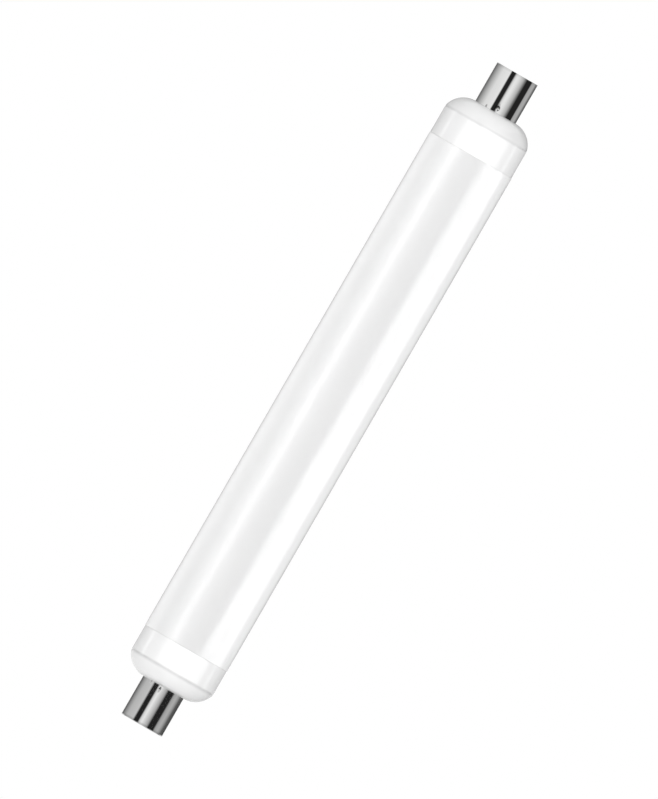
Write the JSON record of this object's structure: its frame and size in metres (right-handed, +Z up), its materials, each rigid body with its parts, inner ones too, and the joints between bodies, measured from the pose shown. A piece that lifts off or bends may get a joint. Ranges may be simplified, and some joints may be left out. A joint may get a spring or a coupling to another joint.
{
  "type": "tubular light bulb",
  "caption": "Double-ended tubular LED lamp: a sealed opal tube with a white moulded end cap and a plated metal contact shell at each end.",
  "frame": {"origin": "centre of the lower contact shell's end face, where the lamp stands", "axes": "+Z up the lamp's axis to the upper contact shell; -Y faces the viewer of the picture"},
  "size_m": [0.0388, 0.0388, 0.309],
  "materials": {
    "opal_tube": "opal white, glossy",
    "end_caps": "moulded white, satin",
    "contact_shells": "bright nickel plate",
    "contact_rivets": "tinned, bright"
  },
  "bodies": {
    "root": {"opal_tube": "opal_tube", "lower_end_cap": "end_caps", "upper_end_cap": "end_caps", "lower_contact_shell": "contact_shells", "upper_contact_shell": "contact_shells", "lower_contact_rivet": "contact_rivets", "upper_contact_rivet": "contact_rivets"}
  },
  "joints": []
}
